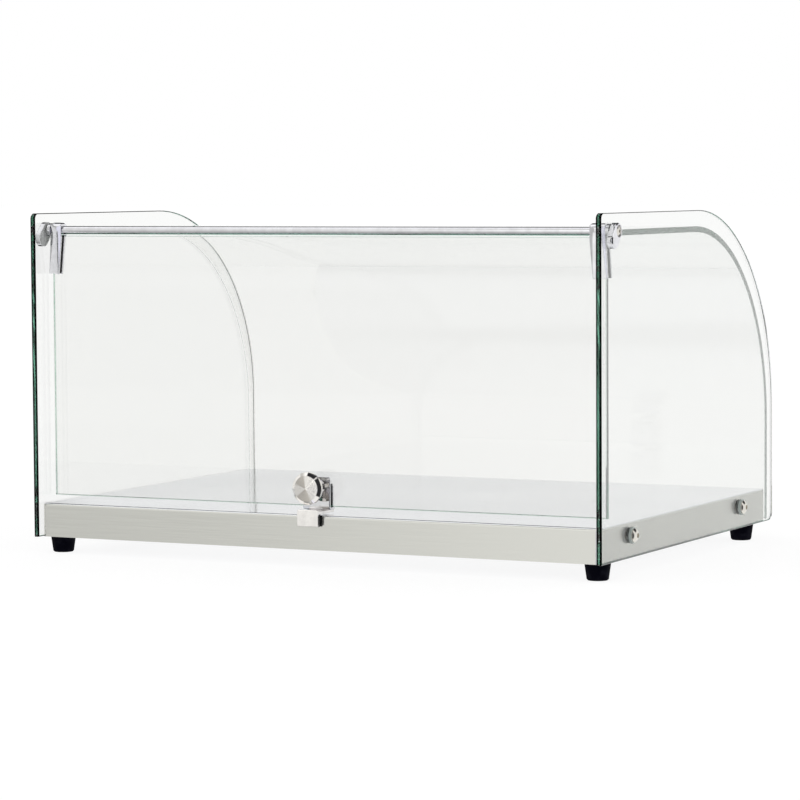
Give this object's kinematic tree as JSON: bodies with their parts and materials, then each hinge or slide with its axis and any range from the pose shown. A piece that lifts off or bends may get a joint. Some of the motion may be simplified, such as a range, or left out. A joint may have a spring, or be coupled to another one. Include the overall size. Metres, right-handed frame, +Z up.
{
  "type": "countertop display case",
  "caption": "Countertop glass display case with a bent glass top and back, a folded steel base on feet and a glass door hung from a cross rod.",
  "frame": {"origin": "on the counter, below the middle of the case", "axes": "+X to the right along the hinge rod, +Y from the door to the back, +Z up"},
  "size_m": [0.5616, 0.4, 0.303],
  "materials": {
    "brushed_stainless": "fine brushed, deck polished",
    "clear_glass": "clear, polished edges",
    "clear_silicone": "clear, smooth",
    "chrome": "polished",
    "stainless_bolt": "polished",
    "turned_steel": "turned face, bright rim",
    "zinc_steel": "bright zinc",
    "clear_nylon": "smooth",
    "dark_rubber": "matt",
    "foot_rubber": "matt"
  },
  "bodies": {
    "cabinet": {"base_tray": "brushed_stainless", "left_side_glass": "clear_glass", "right_side_glass": "clear_glass", "curved_glass": "clear_glass", "left_glass_bond": "clear_silicone", "right_glass_bond": "clear_silicone", "rear_seal_strip": "clear_silicone", "side_pads": "clear_silicone", "base_bolt_sleeves": "clear_nylon", "base_bolt_washers": "clear_nylon", "base_bolts": "stainless_bolt", "base_bolt_nuts": "zinc_steel", "hinge_rod": "chrome", "rod_collars": "chrome", "rod_bolt_sleeves": "clear_nylon", "keeper_gaskets": "clear_silicone", "left_rod_keeper": "chrome", "right_rod_keeper": "chrome", "rod_bolts": "stainless_bolt", "foot_front_left": "foot_rubber", "foot_front_right": "foot_rubber", "foot_rear_left": "foot_rubber", "foot_rear_right": "foot_rubber", "foot_screws": "zinc_steel", "foot_washers": "zinc_steel", "foot_nuts": "zinc_steel"},
    "door": {"door_glass": "clear_glass", "left_hinge_clamp": "chrome", "right_hinge_clamp": "chrome", "left_clamp_pads": "dark_rubber", "right_clamp_pads": "dark_rubber", "clamp_set_screws": "zinc_steel", "door_clip": "chrome", "clip_liner": "dark_rubber", "clip_set_screw": "zinc_steel", "knob": "turned_steel", "knob_screw": "zinc_steel", "door_stop": "chrome", "stop_screws": "zinc_steel", "stop_bumper": "dark_rubber"}
  },
  "joints": [
    {"name": "door_hinge", "type": "hinge", "parent": "cabinet", "child": "door", "pos_m": [0, -0.175, 0.288], "axis": [-1, 0, 0], "range_deg": [0, 225]}
  ]
}
